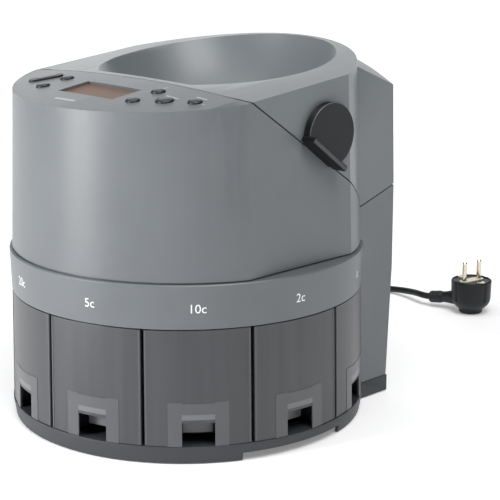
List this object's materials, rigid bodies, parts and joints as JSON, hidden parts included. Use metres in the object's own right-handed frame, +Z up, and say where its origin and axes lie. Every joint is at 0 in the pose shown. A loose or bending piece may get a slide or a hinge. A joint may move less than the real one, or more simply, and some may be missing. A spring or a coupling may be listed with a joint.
{
  "type": "coin sorting machine",
  "caption": "Drum-shaped desktop coin sorter with a tilting hopper cover, pull-out coin cups round its base, a keypad with display, and a mains lead.",
  "frame": {"origin": "on the floor, under the middle of the machine, on the axis of the drum", "axes": "+Z up, -Y to the front with the keypad, +X to the side with the cover's knob"},
  "size_m": [0.2967, 0.546, 0.2979],
  "materials": {
    "shell_grey": "satin grey moulding, fine grain",
    "hopper_grey": "satin grey moulding, smooth bowl",
    "ring_grey": "satin mid grey",
    "cup_smoke": "smoke tinted clear moulding",
    "base_dark": "dark grey grain",
    "foot_rubber": "soft black",
    "light_plastic": "natural",
    "disc_plastic": "smooth",
    "steel": "brushed",
    "bearing_steel": "ground",
    "motor_can": "satin",
    "pulley_metal": "turned",
    "belt_rubber": "matt",
    "board_green": "solder mask",
    "display_tint": "dull warm grey window",
    "psu_metal": "folded sheet",
    "black_plastic": "fine grain",
    "knob_black": "satin dark grey",
    "key_dark": "satin",
    "cord_black": "matt",
    "plug_black": "satin",
    "pin_metal": "bright"
  },
  "bodies": {
    "chassis": {"base_tray": "base_dark", "foot_fr": "foot_rubber", "foot_fl": "foot_rubber", "foot_rr": "foot_rubber", "foot_rl": "foot_rubber", "bay_core": "base_dark", "label_ring": "ring_grey", "sorter_floor": "base_dark", "coin_chutes": "light_plastic", "drive_plate": "steel", "sorting_deck": "light_plastic", "sorting_rail": "steel", "coin_sensor": "black_plastic", "bearing_upper": "bearing_steel", "bearing_lower": "bearing_steel", "drive_motor": "motor_can", "drive_belt": "belt_rubber", "main_housing": "shell_grey", "panel_board": "board_green", "lcd_module": "steel", "lcd_window": "display_tint", "power_supply": "psu_metal", "switch_frame": "black_plastic", "cable_gland": "cord_black", "hinge_pin": "steel", "mains_lead": "cord_black", "lead_coil": "cord_black", "plug_body": "plug_black", "plug_pins": "pin_metal"},
    "cover": {"hopper_cover": "hopper_grey", "feed_spout": "light_plastic", "latch_bush": "black_plastic"},
    "latch": {"latch_knob": "knob_black", "latch_collar": "steel"},
    "sorter": {"sorting_disc": "disc_plastic", "disc_spindle": "pulley_metal"},
    "motor_rotor": {"motor_pulley": "pulley_metal"},
    "rocker": {"switch_rocker": "black_plastic"},
    "key_arc": {"key_arc": "key_dark"},
    "key_left_front": {"key_left_front": "key_dark"},
    "key_left_rear": {"key_left_rear": "key_dark"},
    "key_right_front": {"key_right_front": "key_dark"},
    "key_right_rear": {"key_right_rear": "key_dark"},
    "key_start": {"key_start": "key_dark"},
    "key_outer": {"key_outer": "key_dark"},
    "cup_1": {"cup_1": "cup_smoke"},
    "cup_2": {"cup_2": "cup_smoke"},
    "cup_3": {"cup_3": "cup_smoke"},
    "cup_4": {"cup_4": "cup_smoke"},
    "cup_5": {"cup_5": "cup_smoke"},
    "cup_6": {"cup_6": "cup_smoke"},
    "cup_7": {"cup_7": "cup_smoke"},
    "cup_8": {"cup_8": "cup_smoke"}
  },
  "joints": [
    {"name": "cover_hinge", "type": "hinge", "parent": "chassis", "child": "cover", "pos_m": [0, 0.1432, 0.18097], "axis": [-1, 0, 0], "range_deg": [0, 80]},
    {"name": "latch_turn", "type": "hinge", "parent": "cover", "child": "latch", "pos_m": [0.13, 0.03, 0.24091], "axis": [1, 0, 0], "range_deg": [0, 90]},
    {"name": "disc_spin", "type": "hinge", "parent": "chassis", "child": "sorter", "pos_m": [0, 0, 0.15], "axis": [0, 0, 1], "continuous": true},
    {"name": "motor_spin", "type": "hinge", "parent": "chassis", "child": "motor_rotor", "pos_m": [0, 0.046, 0.11], "axis": [0, 0, 1], "continuous": true},
    {"name": "rocker_tilt", "type": "hinge", "parent": "chassis", "child": "rocker", "pos_m": [-0.062, 0.13659, 0.06222], "axis": [1, 0, 0], "range_deg": [-8, 8]},
    {"name": "key_arc_press", "type": "slide", "parent": "chassis", "child": "key_arc", "axis": [0.0544, 0.1375, -0.989], "range_m": [0, 0.001], "stiffness_N_per_m": 200},
    {"name": "key_left_front_press", "type": "slide", "parent": "chassis", "child": "key_left_front", "axis": [0.0401, 0.1375, -0.9897], "range_m": [0, 0.001], "stiffness_N_per_m": 200},
    {"name": "key_left_rear_press", "type": "slide", "parent": "chassis", "child": "key_left_rear", "axis": [0.0401, 0.1375, -0.9897], "range_m": [0, 0.001], "stiffness_N_per_m": 200},
    {"name": "key_right_front_press", "type": "slide", "parent": "chassis", "child": "key_right_front", "axis": [-0.0333, 0.1376, -0.9899], "range_m": [0, 0.001], "stiffness_N_per_m": 200},
    {"name": "key_right_rear_press", "type": "slide", "parent": "chassis", "child": "key_right_rear", "axis": [-0.0327, 0.1376, -0.99], "range_m": [0, 0.001], "stiffness_N_per_m": 200},
    {"name": "key_start_press", "type": "slide", "parent": "chassis", "child": "key_start", "axis": [-0.048, 0.1375, -0.9893], "range_m": [0, 0.001], "stiffness_N_per_m": 200},
    {"name": "key_outer_press", "type": "slide", "parent": "chassis", "child": "key_outer", "axis": [-0.0626, 0.1374, -0.9885], "range_m": [0, 0.001], "stiffness_N_per_m": 200},
    {"name": "cup_1_slide", "type": "slide", "parent": "chassis", "child": "cup_1", "axis": [0.8862, 0.4633, 0], "range_m": [0, 0.1]},
    {"name": "cup_2_slide", "type": "slide", "parent": "chassis", "child": "cup_2", "axis": [0.9945, -0.1045, 0], "range_m": [0, 0.1]},
    {"name": "cup_3_slide", "type": "slide", "parent": "chassis", "child": "cup_3", "axis": [0.7705, -0.6374, 0], "range_m": [0, 0.1]},
    {"name": "cup_4_slide", "type": "slide", "parent": "chassis", "child": "cup_4", "axis": [0.289, -0.9573, 0], "range_m": [0, 0.1]},
    {"name": "cup_5_slide", "type": "slide", "parent": "chassis", "child": "cup_5", "axis": [-0.289, -0.9573, 0], "range_m": [0, 0.1]},
    {"name": "cup_6_slide", "type": "slide", "parent": "chassis", "child": "cup_6", "axis": [-0.7705, -0.6374, 0], "range_m": [0, 0.1]},
    {"name": "cup_7_slide", "type": "slide", "parent": "chassis", "child": "cup_7", "axis": [-0.9945, -0.1045, 0], "range_m": [0, 0.1]},
    {"name": "cup_8_slide", "type": "slide", "parent": "chassis", "child": "cup_8", "axis": [-0.8862, 0.4633, 0], "range_m": [0, 0.1]}
  ],
  "couplings": [
    {"joint": "motor_spin", "follows": "disc_spin", "ratio": 4}
  ]
}
